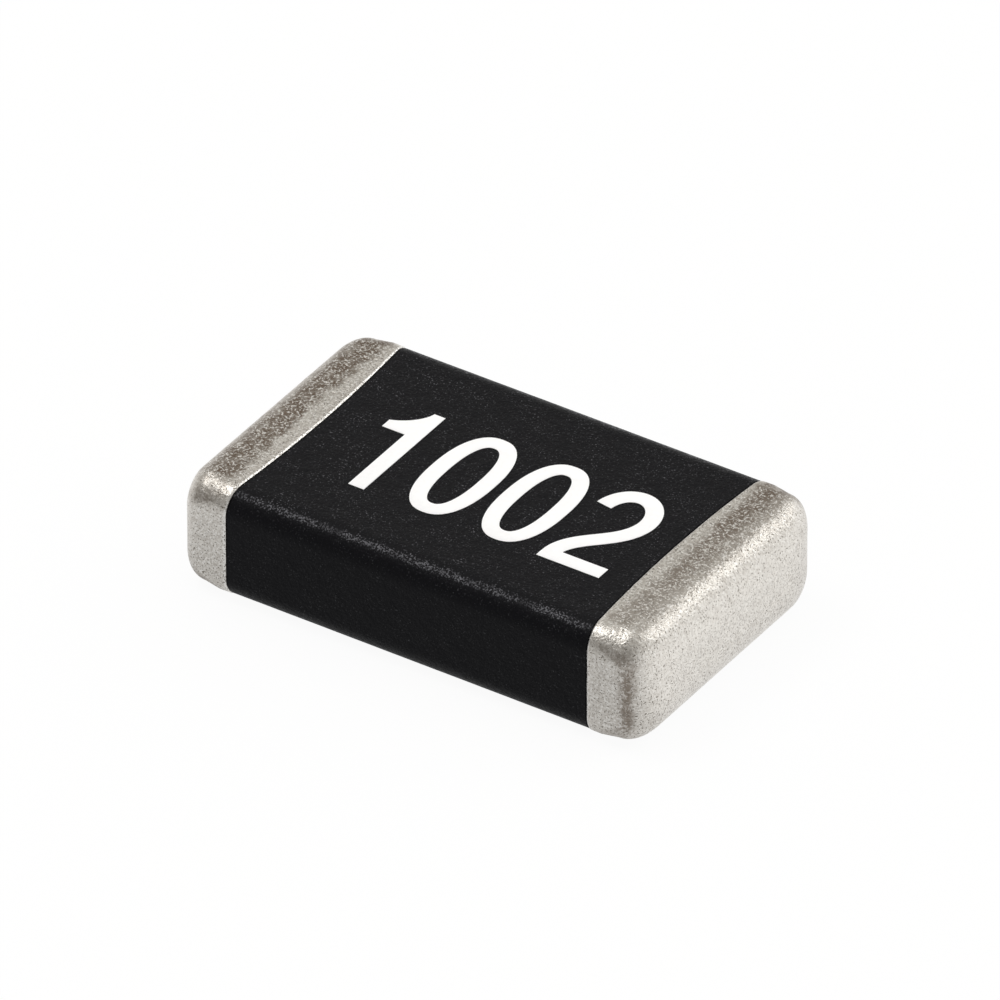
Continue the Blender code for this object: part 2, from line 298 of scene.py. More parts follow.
def shoulder_rows(sizes, inset, count, columns):
    """Rows over the shoulder: the section shrinks by one minus a power of the angle's cosine while it
    moves out along the chip by the same power of the sine."""
    angles = even_angles(sizes, inset, count)
    power = 2 / sizes.fullness
    outward = np.sin(angles) ** power / np.sin(SHOULDER_LAST) ** power
    full = np.cos(angles) ** power
    half_height = HALF_HEIGHT - inset - (sizes.shoulder_up - inset) * (1 - full)
    half_width = HALF_WIDTH - inset - (sizes.shoulder_across - inset) * (1 - full)
    radius = (sizes.shoulder_edge_radius - inset) * (LAST_RADIUS_SHARE + (1 - LAST_RADIUS_SHARE) * full)
    radius = np.minimum(radius, CORNER_LIMIT * half_height)
    across, up = section(half_width, half_height, radius, columns)
    start = HALF_LENGTH - sizes.shoulder_along
    along = start + (sizes.shoulder_along - inset) * outward
    return np.stack([np.broadcast_to(along[:, None], across.shape), across, up], axis=-1)


def seam_rows(sizes, beyond, inset, radius, columns):
    """Rows that follow the seam's curve, each a constant distance beyond it."""
    across, up = section(HALF_WIDTH - inset, HALF_HEIGHT - inset, radius, columns)
    return np.stack([seam(across, sizes) + np.reshape(beyond, (-1, 1)), across, up], axis=-1)


def lip_rows(sizes, columns):
    """The plating's lip: a straight slant at its very edge, then a shallow parabola up to full height."""
    share = np.linspace(0, 1, LIP_ROWS) ** 2
    share = np.sort(np.append(share, sizes.lip_slant_width / sizes.lip_rise))
    distance = share * sizes.lip_rise
    slant = sizes.lip_slant_depth * np.clip(1 - distance / sizes.lip_slant_width, 0, 1)
    drop = sizes.lip_slope * (1 - share) ** 2 + slant
    return seam_rows(sizes, distance, drop, sizes.edge_radius - drop, columns)


def row_normals(points):
    """Unit normals of a ring grid: the cross product of its slopes along the rows and round them."""
    along = np.gradient(points, axis=0)
    around = np.roll(points, -1, axis=1) - np.roll(points, 1, axis=1)
    normals = np.cross(around, along)
    return normals / np.linalg.norm(normals, axis=-1, keepdims=True)


def ring_faces(index):
    """Quads of an index grid whose last column joins its first."""
    index = np.concatenate([index, index[:, :1]], axis=1)
    quads = np.stack([index[:-1, :-1], index[:-1, 1:], index[1:, 1:], index[1:, :-1]], axis=-1)
    return quads.reshape(-1, 4)


def patch_over(points, ring, rows):
    """Closes a ring that is symmetric about the chip's middle height: its upper half is blended into
    its lower half in straight columns. Gives the new points and the faces, facing along +X."""
    half = len(ring) // 2
    upper = ring[1:half]
    lower = ring[:half:-1]
    shares = np.arange(1, rows)[:, None, None] / rows
    inside = points[upper] * (1 - shares) + points[lower] * shares
    added = len(points) + np.arange((rows - 1) * len(upper)).reshape(rows - 1, len(upper))
    index = np.concatenate([upper[None], added, lower[None]])
    quads = np.stack([index[:-1, :-1], index[:-1, 1:], index[1:, 1:], index[1:, :-1]], axis=-1)
    back = np.stack([np.full(rows, ring[0]), index[:-1, 0], index[1:, 0]], axis=-1)
    front = np.stack([np.full(rows, ring[half]), index[1:, -1], index[:-1, -1]], axis=-1)
    return inside.reshape(-1, 3), quads.reshape(-1, 4), np.concatenate([back, front])


def grid_mesh(name, points, faces):
    """A mesh of points, in metres, and faces that name their points by number."""
    mesh = bpy.data.meshes.new(name)
    mesh.from_pydata(points.tolist(), [], faces)
    mesh.validate()
    return mesh


def new_piece(name, mesh, material):
    """A mesh as a smooth object at the origin that rides on the chip."""
    mesh.shade_smooth()
    mesh.set_sharp_from_angle(angle=SHARP_ANGLE)
    mesh.materials.append(material)
    piece = bpy.data.objects.new(name, mesh)
    bpy.context.scene.collection.objects.link(piece)
    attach(piece, BODY)
    return piece


def sunk(points, normals, depth, cells, seed):
    """Points pushed inwards by two layers of value noise, the coarser one twice as deep."""
    coarse = cloud(points, cells[0], seed)
    fine = cloud(points, cells[1], seed + 1)
    return points - normals * (depth * (2 * coarse + fine) / 3)[..., None]


def cap_mesh(sizes, side, seed):
    """One plated terminal as a closed shell: inner rows, lip, band and shoulder, then both end patches."""
    columns = CAP_COLUMNS
    inner_shoulder = shoulder_rows(sizes, sizes.tin, INNER_ROWS, columns)
    inner_seam = seam_rows(sizes, 0.0, sizes.tin, sizes.edge_radius - sizes.tin, columns)
    lip = lip_rows(sizes, columns)
    shoulder = shoulder_rows(sizes, 0.0, SHOULDER_ROWS, columns)
    shares = np.linspace(0, 1, BAND_ROWS + 1)[1:-1, None, None]
    band = lip[-1] * (1 - shares) + shoulder[0] * shares
    outer = np.concatenate([lip, band, shoulder])
    outer = sunk(outer, row_normals(outer), sizes.tin_relief, TIN_SWELLS, seed)
    grid = np.concatenate([inner_shoulder[::-1], inner_seam, outer])
    index = np.arange(grid.shape[0] * grid.shape[1]).reshape(grid.shape[:2])
    points = grid.reshape(-1, 3)
    end_points, end_quads, end_tips = patch_over(points, index[-1], PATCH_ROWS)
    ahead = np.broadcast_to([1.0, 0.0, 0.0], end_points.shape)
    end_points = sunk(end_points, ahead, sizes.tin_relief, TIN_SWELLS, seed)
    points = np.concatenate([points, end_points])
    bottom_points, bottom_quads, bottom_tips = patch_over(points, index[0], 1)
    points = np.concatenate([points, bottom_points])
    quads = np.concatenate([ring_faces(index), end_quads, bottom_quads[:, ::-1]])
    tips = np.concatenate([end_tips, bottom_tips[:, ::-1]])
    if side < 0:
        points = points * (-1, 1, 1)
        quads = quads[:, ::-1]
        tips = tips[:, ::-1]
    return points, quads.tolist() + tips.tolist()


def coat_mesh(sizes, seed):
    """The coat as a closed sleeve: outer rows between the seams, broken rims, and a straight bore that
    clears the printed layers on the substrate."""
    close = SHADOW_ROW_DISTANCES / seam(0, sizes)
    shares = np.concatenate([close - 1, np.linspace(-1, 1, COAT_ROWS)[1:-1], 1 - close[::-1]])
    inset = HALF_HEIGHT - COAT_HALF_HEIGHT
    rim_inset = np.full(len(shares), inset)
    rim_inset[[0, -1]] += SEAM_GAP
    across, up = section(
        HALF_WIDTH - rim_inset, HALF_HEIGHT - rim_inset, sizes.edge_radius - rim_inset, COAT_COLUMNS)
    reach = seam(across, sizes) - SEAM_GAP
    outer = np.stack([shares[:, None] * reach, across, up], axis=-1)
    outer = sunk(outer, -row_normals(outer), sizes.coat_relief, COAT_SWELLS, seed)
    bore_top = GLASS_HIGH[2] + 2 * BOND
    bore_bottom = CORE_LOW[2] - BOND
    bore_height = (bore_top - bore_bottom) / 2
    bore_middle = (bore_top + bore_bottom) / 2
    across, up = section(CORE_HIGH[1] + BOND, bore_height, BORE_RADIUS, COAT_COLUMNS)
    reach = seam(across, sizes) - SEAM_GAP
    along = np.array([[1], [-1]]) * reach
    bore = np.stack([along, np.repeat(across, 2, 0), np.repeat(up, 2, 0) + bore_middle], axis=-1)
    grid = np.concatenate([outer, bore])
    index = np.arange(grid.shape[0] * grid.shape[1]).reshape(grid.shape[:2])
    closed = np.concatenate([index, index[:1]])
    # Painted shadow of the seam's gap, on the rows beside the left terminal: full at the rim, fading over
    # six micrometres
    seam_shadow = np.zeros(grid.shape[:2])
    seam_shadow[:len(close)] = 1 - (SHADOW_ROW_DISTANCES / SHADOW_ROW_DISTANCES[-1])[:, None] ** 2
    return grid.reshape(-1, 3), ring_faces(closed).tolist(), seam_shadow.ravel()


def oval(half_width, half_height, count=64, fullness=2.35):
    """Superellipse outline: each coordinate is its sine or cosine raised to two over the fullness."""
    angles = np.linspace(0, 2 * math.pi, count, endpoint=False)
    cosine = np.cos(angles)
    sine = np.sin(angles)
    x = half_width * np.sign(cosine) * np.abs(cosine) ** (2 / fullness)
    y = half_height * np.sign(sine) * np.abs(sine) ** (2 / fullness)
    return np.column_stack([x, y])


def cubic(start, pull, push, end, count):
    """Points of a cubic curve: four places blended with the Bernstein weights."""
    share = np.linspace(0, 1, count)[:, None]
    rest = 1 - share
    outer = rest ** 3 * start + 3 * rest ** 2 * share * pull
    return outer + 3 * rest * share ** 2 * push + share ** 3 * end


def digit_zero(width, height, stroke):
    """A tall oval ring, its strokes a little thinner at top and bottom."""
    return [oval(width / 2, height / 2), oval(width / 2 - stroke, height / 2 - 0.94 * stroke)[::-1]]


def digit_one(width, height, stroke):
    """An upright stem with a short flag that curves up into its top. Its places are shares of the
    digit's width, height and stroke."""
    right = 0.22 * width
    left = right - stroke
    flag_low = height / 2 - 0.31 * height
    flag_high = flag_low + 0.72 * stroke
    flag_left = -0.40 * width
    top = height / 2
    sweep = cubic(
        np.array([flag_left, flag_high]), np.array([left - 0.55 * stroke, flag_high + 0.04 * height]),
        np.array([left + 0.15 * stroke, top - 0.09 * height]), np.array([left + 0.30 * stroke, top]), 14)
    corners = np.array([[right, top], [right, -top], [left, -top], [left, flag_low], [flag_left, flag_low]])
    return [np.concatenate([corners, sweep])]


def digit_two(width, height, stroke):
    """A bowl that sweeps down into a foot: the middle line is an ellipse, then a cubic, and the outline
    lies half a stroke to either side of it. Its places are shares of the digit's sizes."""
    half = stroke / 2
    reach = width / 2 - half
    rise = 0.235 * height
    middle = height / 2 - half - rise
    angles = np.radians(np.linspace(172, -22, 40))
    bowl = np.column_stack([reach * np.cos(angles), middle + rise * np.sin(angles)])
    heading = bowl[-1] - bowl[-2]
    heading = heading / np.linalg.norm(heading)
    foot = np.array([-reach, -height / 2 + 0.5 * stroke])
    pull = bowl[-1] + heading * 0.24 * height
    sweep = cubic(bowl[-1], pull, foot + (0.01 * width, 0.25 * height), foot, 30)
    line = np.concatenate([bowl, sweep[1:]])
    slope = np.gradient(line, axis=0)
    slope = slope / np.linalg.norm(slope, axis=1, keepdims=True)
    normal = np.column_stack([-slope[:, 1], slope[:, 0]])
    outer = line + normal * half
    inner = line - normal * half
    foot_top = -height / 2 + 0.94 * stroke
    outer = outer[outer[:, 1] > foot_top]
    inner = inner[inner[:, 1] > -height / 2 + 0.55 * stroke]
    right = width / 2
    foot_corners = np.array([
        [outer[-1, 0], foot_top], [right, foot_top], [right, -height / 2], [-width / 2, -height / 2],
        [-width / 2, -height / 2 + 0.3 * stroke]])
    return [np.concatenate([outer, foot_corners, inner[::-1]])]


DIGITS = {"0": digit_zero, "1": digit_one, "2": digit_two}


def plate_mesh(name, outlines, thickness, edge):
    """A flat plate from closed outlines, in millimetres, with a small bevel and its doubles merged."""
    curve = bpy.data.curves.new(name, "CURVE")
    curve.dimensions = "2D"
    curve.fill_mode = "BOTH"
    curve.extrude = thickness / 2 - edge
    curve.bevel_depth = edge
    curve.bevel_resolution = 1
    curve.offset = -edge
    for outline in outlines:
        spline = curve.splines.new("POLY")
        spline.points.add(len(outline) - 1)
        flat = np.column_stack([outline, np.zeros(len(outline)), np.ones(len(outline))])
        spline.points.foreach_set("co", flat.ravel())
        spline.use_cyclic_u = True
    holder = bpy.data.objects.new(name, curve)
    bpy.context.scene.collection.objects.link(holder)
    graph = bpy.context.evaluated_depsgraph_get()
    mesh = bpy.data.meshes.new_from_object(holder.evaluated_get(graph))
    bpy.data.objects.remove(holder)
    builder = bmesh.new()
    builder.from_mesh(mesh)
    bmesh.ops.remove_doubles(builder, verts=builder.verts, dist=MERGE_DISTANCE)
    bmesh.ops.recalc_face_normals(builder, faces=builder.faces)
    builder.to_mesh(mesh)
    builder.free()
    return mesh


def node(tree, kind, inputs=None, **settings):
    """Adds a node with its settings. An input is a value, or another node's socket to link from."""
    added = tree.nodes.new("ShaderNode" + kind)
    for name, value in settings.items():
        setattr(added, name, value)
    for name, value in (inputs or {}).items():
        if isinstance(value, bpy.types.NodeSocket):
            tree.links.new(value, added.inputs[name])
        else:
            added.inputs[name].default_value = value
    return added


def new_material(name):
    """An empty material, with the place on the piece in millimetres. Lengths in its patterns are in
    millimetres too, and a noise's scale is one over the width of its grain."""
    material = bpy.data.materials.new(name)
    material.use_nodes = True
    tree = material.node_tree
    tree.nodes.clear()
    place = node(tree, "TexCoord").outputs["Object"]
    scaled = node(tree, "VectorMath", {0: place, "Scale": 1 / MM}, operation="SCALE")
    return material, tree, scaled.outputs[0]


def finish_material(tree, shader):
    """Makes a shader the surface of its material."""
    node(tree, "OutputMaterial", {"Surface": shader.outputs[0]})


def rgba(color):
    """A colour with full opacity."""
    return (*color, 1.0)


def smooth_step(tree, value, start, end, low=0.0, high=1.0):
    """A soft step of a value from one level to another."""
    step = node(tree, "MapRange", {"Value": value, "From Min": start, "From Max": end, "To Min": low,
                                   "To Max": high}, interpolation_type="SMOOTHSTEP")
    return step.outputs[0]


def combine(tree, operation, *values):
    """One step of arithmetic on sockets or numbers."""
    return node(tree, "Math", dict(enumerate(values)), operation=operation).outputs[0]


def tarnish_and_shade_ring(tree, place):
    """A dark ring round the terminal, partly tarnish from barrel and flux, and partly painted shade for the
    dim room that the tin mirrors there. It lies between the pale rim beside the seam and the ridge of the
    shoulder. It is darkest near the rim, fades towards the ridge, starts further from the seam on the narrow
    sides, and is strongest towards the back."""
    along, across, up = node(tree, "SeparateXYZ", {0: place}).outputs
    # Both edges waver, less so on the narrow sides; the inner one curves inwards to the long edges
    waver = node(tree, "TexNoise", {"Vector": place, "Scale": 1 / 0.040, "Detail": 3.0, "Roughness": 0.6})
    on_sides = smooth_step(tree, combine(tree, "ABSOLUTE", up), 0.165, 0.090, 0.0, SIDE_STEP)
    side = combine(tree, "MULTIPLY", on_sides, 1 / SIDE_STEP)
    moved = combine(tree, "MULTIPLY", combine(tree, "SUBTRACT", waver.outputs[0], 0.5),
                    combine(tree, "MULTIPLY_ADD", side, -0.045, 0.066))
    distance = combine(tree, "ADD", combine(tree, "ABSOLUTE", along), moved)
    bow = combine(tree, "MULTIPLY", combine(tree, "POWER", across, 2.0), -0.10)
    inner = combine(tree, "SUBTRACT", combine(tree, "SUBTRACT", distance, bow), on_sides)
    # It lies a little further out on the left terminal
    left = smooth_step(tree, along, 0.1, -0.1, 0.0, 0.012)
    rises = smooth_step(tree, combine(tree, "SUBTRACT", inner, left), 0.592, 0.630)
    outer = combine(tree, "SUBTRACT", distance, combine(tree, "MULTIPLY", on_sides, 0.15))
    outer = combine(tree, "SUBTRACT", outer, combine(tree, "MULTIPLY", left, 2.5))
    falls = smooth_step(tree, outer, 0.728, 0.700)
    fades = smooth_step(tree, combine(tree, "SUBTRACT", outer, on_sides), 0.655, 0.705, 1.0, 0.55)
    # On the right terminal its strength grows towards the back; on the left one it is full, save on the
    # narrow sides
    strength = combine(tree, "MAXIMUM", smooth_step(tree, across, -0.45, 0.30, 0.60, 0.95),
                       smooth_step(tree, along, 0.1, -0.1, 0.0, 1.0))
    strength = combine(tree, "MAXIMUM", strength, combine(tree, "MULTIPLY", side, 0.85))
    weaker = combine(tree, "MULTIPLY", side, smooth_step(tree, along, 0.1, -0.1, 0.0, 0.8))
    strength = combine(tree, "MULTIPLY", strength, combine(tree, "SUBTRACT", 1.0, weaker))
    # Handling keeps the upper front edge bright; the angle runs from the top, at 0, to the front, at 90
    radius = bpy.context.scene.chip_sizes.shoulder_edge_radius
    out = combine(tree, "SUBTRACT", combine(tree, "MULTIPLY", across, -1.0), (HALF_WIDTH - radius) / MM)
    over = combine(tree, "SUBTRACT", up, (HALF_HEIGHT - radius) / MM)
    angle = combine(tree, "ARCTAN2", out, over)
    worn = combine(tree, "MULTIPLY", smooth_step(tree, angle, math.radians(0), math.radians(14)),
                   smooth_step(tree, angle, math.radians(62), math.radians(46)))
    worn = combine(tree, "MULTIPLY", worn, smooth_step(tree, along, -0.1, 0.1, 0.55, 0.9))
    strength = combine(tree, "MULTIPLY", strength, combine(tree, "SUBTRACT", 1.0, worn))
    band = combine(tree, "MULTIPLY", combine(tree, "MULTIPLY", rises, falls), fades)
    return combine(tree, "MULTIPLY", band, strength)


def seam_distance(tree, reach, across):
    """How far beyond the seam's parabola a place lies, in millimetres, from its distance along the chip."""
    sizes = bpy.context.scene.chip_sizes
    bend = sizes.band_bow * MM / HALF_WIDTH ** 2
    bow = combine(tree, "MULTIPLY", combine(tree, "POWER", across, 2.0), bend)
    return combine(tree, "SUBTRACT", combine(tree, "SUBTRACT", reach, seam(0, sizes) / MM), bow)


def handled_places(tree, reach, across, height):
    """Two masks of where handling has rubbed the tin: along the long edges, and on the shoulder's ridge."""
    edge = combine(tree, "MULTIPLY", smooth_step(tree, combine(tree, "ABSOLUTE", across), 0.375, 0.405),
                   smooth_step(tree, combine(tree, "ABSOLUTE", height), 0.095, 0.125))
    ridge = combine(tree, "MULTIPLY", smooth_step(tree, reach, 0.695, 0.722),
                    smooth_step(tree, reach, 0.765, 0.748))
    return edge, ridge


def tin_plate():
    """Matt tin, barrel plated: a frosted pale metal of fine curled crystals. Painted glints stand for the
    facets that catch the light one by one, and painted shade for those turned away. A dark ring round the
    terminal is partly tarnish and partly painted shade, and tiny pits, painted dark, lie closer together low
    on the chip."""
    colors = bpy.context.scene.chip_colors
    material, tree, place = new_material("matt_tin_barrel_plated")
    # Crystals drawn about 12 micrometres wide, four pixels of the picture; real ones are 1 to 5
    curls = node(tree, "TexNoise", {"Vector": place, "Scale": 1 / 0.0115, "Detail": 1.5, "Roughness": 0.5})
    fold = combine(tree, "ABSOLUTE", combine(tree, "MULTIPLY_ADD", curls.outputs[0], 2.0, -1.0))
    grain = node(tree, "TexNoise", {"Vector": place, "Scale": 1 / 0.0085, "Detail": 1.0})
    broken = smooth_step(tree, grain.outputs[0], 0.38, 0.58)
    along, across, height = node(tree, "SeparateXYZ", {0: place}).outputs
    reach = combine(tree, "ABSOLUTE", along)
    # The painted glints and facet shade are weaker on the end faces, and weaker mid-height than near the top
    # and the foot
    lively = combine(tree, "MULTIPLY", smooth_step(tree, reach, 0.765, 0.735, 0.35, 1.0),
                     smooth_step(tree, combine(tree, "ABSOLUTE", height), 0.09, 0.14, 0.70, 1.0))
    # Painted highlight: glints drawn along the crests of the curled noise
    painted_glint = combine(tree, "MULTIPLY", smooth_step(tree, fold, 0.16, 0.05), broken)
    # Handled places are smoother: the crystals stand out less there
    edge, ridge = handled_places(tree, reach, across, height)
    handled = combine(tree, "MAXIMUM", combine(tree, "MULTIPLY", ridge, 0.6), edge)
    rubbed = combine(tree, "MULTIPLY_ADD", handled, -0.5, 1.0)
    painted_glint = combine(tree, "MULTIPLY", combine(tree, "MULTIPLY", painted_glint, lively), rubbed)
    # Painted shade: grains that stand for facets turned from the light take some of the dark ring's colour
    facet_shade = combine(tree, "MULTIPLY", smooth_step(tree, grain.outputs[0], 0.34, 0.60, 0.26, 0.0),
                    combine(tree, "MULTIPLY", combine(tree, "MULTIPLY_ADD", lively, 0.6, 0.4), rubbed))
    swell = node(tree, "TexNoise", {"Vector": place, "Scale": 1 / 0.030, "Detail": 1.0})
    mottle = node(tree, "TexNoise", {"Vector": place, "Scale": 1 / 0.035, "Detail": 4.0, "Roughness": 0.7})
    faint = combine(tree, "ADD", smooth_step(tree, mottle.outputs[0], 0.45, 0.75, 0.0, 0.20), facet_shade)
    shown = smooth_step(tree, mottle.outputs[0], 0.32, 0.56, 0.58, 1.0)
    between = combine(tree, "MULTIPLY_ADD", painted_glint, -0.90, 1.0)
    ring = combine(tree, "MULTIPLY", combine(tree, "MULTIPLY", tarnish_and_shade_ring(tree, place), shown), between)
    # Tarnish and painted shade: the ring, the random mottle and the painted facet shade
    tarnish_and_shade = combine(tree, "MAXIMUM", ring, faint)
    # Pits 2 to 4 micrometres wide, where a fine noise falls under a limit that rises towards the foot. Their
    # dark colour is painted shade inside each pit; the bump dents them too
    dots = node(tree, "TexNoise", {"Vector": place, "Scale": 1 / 0.0045, "Detail": 0.0})
    limit = node(tree, "MapRange", {"Value": height, "From Min": -0.16, "From Max": 0.08,
                                    "To Min": 0.368, "To Max": 0.315})
    under = combine(tree, "SUBTRACT", limit.outputs[0], dots.outputs[0])
    pit = node(tree, "MapRange", {"Value": under, "From Min": 0.0, "From Max": 0.06}).outputs[0]
    # The lip slants to the coat, and a painted highlight in the glint colour, a thin bright line, stands for
    # the lamp that it mirrors
    from_seam = seam_distance(tree, reach, across)
    glint_and_lip_highlight = combine(tree, "MAXIMUM", painted_glint, smooth_step(tree, from_seam, 0.007, 0.005))
    bright = node(tree, "Mix", {0: glint_and_lip_highlight, 6: rgba(colors.tin), 7: rgba(colors.tin_glint)},
                  data_type="RGBA")
    base = node(tree, "Mix", {0: tarnish_and_shade, 6: bright.outputs[2], 7: rgba(colors.tin_tarnish_and_shade)}, data_type="RGBA")
    pitted = node(tree, "Mix", {0: pit, 6: base.outputs[2], 7: rgba(colors.tin_pit_shade)}, data_type="RGBA")
    rough = node(tree, "MapRange", {"Value": grain.outputs[0], "From Min": 0.3, "From Max": 0.7,
                                    "To Min": 0.27, "To Max": 0.37})
    dulled = combine(tree, "MULTIPLY_ADD", combine(tree, "MAXIMUM", ridge, edge), 0.08, rough.outputs[0])
    curled = combine(tree, "MULTIPLY_ADD", fold, -0.8, grain.outputs[0])
    raised = combine(tree, "ADD", curled, swell.outputs[0])
    level = combine(tree, "MULTIPLY", combine(tree, "SUBTRACT", raised, 0.85), rubbed)
    dented = combine(tree, "SUBTRACT", level, combine(tree, "MULTIPLY", pit, 0.4))
    bump = node(tree, "Bump", {"Height": dented, "Distance": 0.0022 * MM, "Strength": 1.0})
    shader = node(tree, "BsdfPrincipled", {"Base Color": pitted.outputs[2], "Metallic": 1.0,
                                           "Roughness": dulled, "Normal": bump.outputs[0]})
    finish_material(tree, shader)
    return material


def coat_sheen_and_side_shade(tree, place):
    """Two masks: a painted highlight along the rounded upper edges of the coat, and painted shade down its
    sides. Both come from the angle round the edge, which runs from the top, at 0, to the side, at 90."""
    across, up = node(tree, "SeparateXYZ", {0: place}).outputs[1:]
    radius = bpy.context.scene.chip_sizes.edge_radius
    out = combine(tree, "SUBTRACT", combine(tree, "ABSOLUTE", across), (HALF_WIDTH - radius) / MM)
    over = combine(tree, "SUBTRACT", up, (HALF_HEIGHT - radius) / MM)
    angle = combine(tree, "ARCTAN2", out, over)
    rises = smooth_step(tree, angle, math.radians(13), math.radians(28))
    falls = smooth_step(tree, angle, math.radians(44), math.radians(31))
    side = smooth_step(tree, angle, math.radians(33), math.radians(43))
    return combine(tree, "MULTIPLY", rises, falls), side


def epoxy_coat():
    """Black epoxy filled with fine mineral powder, printed and cured: matt and nearly black. Filler grains
    show as light specks. Along the upper edges more specks stand for a painted highlight, and down the sides
    fewer specks give painted shade. A painted shadow of the seam's gap runs beside the left terminal."""
    colors = bpy.context.scene.chip_colors
    material, tree, place = new_material("black_filled_epoxy_cured")
    edge, side = coat_sheen_and_side_shade(tree, place)
    grain = node(tree, "TexNoise", {"Vector": place, "Scale": 1 / 0.009, "Detail": 2.0, "Roughness": 0.6})
    peel = node(tree, "TexNoise", {"Vector": place, "Scale": 1 / 0.040, "Detail": 2.0})
    haze = node(tree, "TexNoise", {"Vector": place, "Scale": 1 / 0.090, "Detail": 4.0, "Roughness": 0.6})
    # Filler grains drawn about 5 micrometres wide so that they show; real ones are 1 to 3
    filler = node(tree, "TexNoise", {"Vector": place, "Scale": 1 / 0.005, "Detail": 1.0})
    # Painted highlight: along the upper edges the specks show from a lower level, so there are more of them
    floor_level = combine(tree, "MULTIPLY_ADD", edge, -0.165, 0.62)
    over = combine(tree, "SUBTRACT", filler.outputs[0], floor_level)
    speck = node(tree, "MapRange", {"Value": over, "From Min": 0.0, "From Max": 0.20}).outputs[0]
    clouded = smooth_step(tree, haze.outputs[0], 0.35, 0.65, 0.25, 1.3)
    # Painted shade: fewer specks down the sides, so they are darker
    side_shade = combine(tree, "MULTIPLY_ADD", side, -0.62, 1.0)
    shown = combine(tree, "MULTIPLY", combine(tree, "MULTIPLY", speck, clouded), side_shade)
    # Painted shadow: the coat turns black beside the left terminal's seam
    seam_shadow = node(tree, "Attribute", attribute_name="seam_shadow").outputs["Fac"]
    color = node(tree, "Mix", {0: shown, 6: rgba(colors.coat), 7: rgba(colors.coat_speck_and_sheen)}, data_type="RGBA")
    dark = node(tree, "Mix", {0: seam_shadow, 6: color.outputs[2], 7: (0.0, 0.0, 0.0, 1.0)}, data_type="RGBA")
    rough = node(tree, "MapRange", {"Value": grain.outputs[0], "From Min": 0.3, "From Max": 0.7,
                                    "To Min": 0.38, "To Max": 0.56})
    height = combine(tree, "ADD", grain.outputs[0], peel.outputs[0])
    bump = node(tree, "Bump", {"Height": height, "Distance": 0.0020 * MM, "Strength": 1.0})
    shader = node(tree, "BsdfPrincipled", {
        "Base Color": dark.outputs[2], "Roughness": rough.outputs[0], "IOR": 1.22,
        "Specular IOR Level": 0.36, "Normal": bump.outputs[0]})
    finish_material(tree, shader)
    return material


def marking_ink():
    """White epoxy marking ink, pad printed: dense and even, slightly soft at the surface."""
    colors = bpy.context.scene.chip_colors
    material, tree, place = new_material("white_marking_ink_printed")
    film = node(tree, "TexNoise", {"Vector": place, "Scale": 1 / 0.012, "Detail": 2.0})
    tone = node(tree, "MapRange", {"Value": film.outputs[0], "From Min": 0.3, "From Max": 0.7,
                                   "To Min": 0.97, "To Max": 1.0})
    color = node(tree, "Mix", {0: 1.0, 6: rgba(colors.ink), 7: tone.outputs[0]}, data_type="RGBA",
                 blend_type="MULTIPLY")
    bump = node(tree, "Bump", {"Height": film.outputs[0], "Distance": 0.0004 * MM, "Strength": 1.0})
    shader = node(tree, "BsdfPrincipled", {"Base Color": color.outputs[2], "Roughness": 0.6,
                                           "Normal": bump.outputs[0]})
    finish_material(tree, shader)
    return material


def grained_finish(name, low_hex, high_hex, cell, relief, roughness, metallic=0.0):
    """A fine-grained finish between two colours: what the fired and plated inner layers have in common.
    Cell is the grain's width and relief its depth, in millimetres."""
    material, tree, place = new_material(name)
    grain = node(tree, "TexNoise", {"Vector": place, "Scale": 1 / cell, "Detail": 3.0, "Roughness": 0.6})
    share = node(tree, "MapRange", {"Value": grain.outputs[0], "From Min": 0.35, "From Max": 0.65})
    color = node(tree, "Mix", {0: share.outputs[0], 6: rgba(linear(low_hex)), 7: rgba(linear(high_hex))},
                 data_type="RGBA")
    rough = node(tree, "MapRange", {"Value": grain.outputs[0], "From Min": 0.3, "From Max": 0.7,
                                    "To Min": roughness - 0.06, "To Max": roughness + 0.06})
    bump = node(tree, "Bump", {"Height": grain.outputs[0], "Distance": relief * MM, "Strength": 1.0})
    shader = node(tree, "BsdfPrincipled", {"Base Color": color.outputs[2], "Metallic": metallic,
                                           "Roughness": rough.outputs[0], "Normal": bump.outputs[0]})
    finish_material(tree, shader)
    return material


# Name, darker and lighter colour, grain width and relief in millimetres, roughness, metallic
INNER_FINISHES = {
    "ceramic_substrate": ("fired_alumina_ceramic", "#dcdad4", "#f1efe9", 0.008, 0.0008, 0.55, 0.0),
    "resistive_film": ("ruthenium_oxide_film_fired", "#1b1b1f", "#2e2e34", 0.010, 0.0008, 0.50, 0.0),
    "glass_overcoat": ("green_trim_glaze_fired", "#2f5b43", "#3f7557", 0.030, 0.0006, 0.18, 0.0),
    "top_electrode": ("silver_palladium_print_fired", "#b9b5ab", "#d2cec4", 0.007, 0.0010, 0.45, 1.0),
    "bottom_electrode": ("silver_print_fired", "#bdb9b0", "#d6d2c9", 0.007, 0.0010, 0.45, 1.0),
    "end_electrode": ("silver_dip_fired", "#c3bfb6", "#dbd7ce", 0.009, 0.0014, 0.50, 1.0),
    "nickel_barrier": ("nickel_barrel_plated", "#b0a898", "#c7bfae", 0.006, 0.0006, 0.35, 1.0),
}


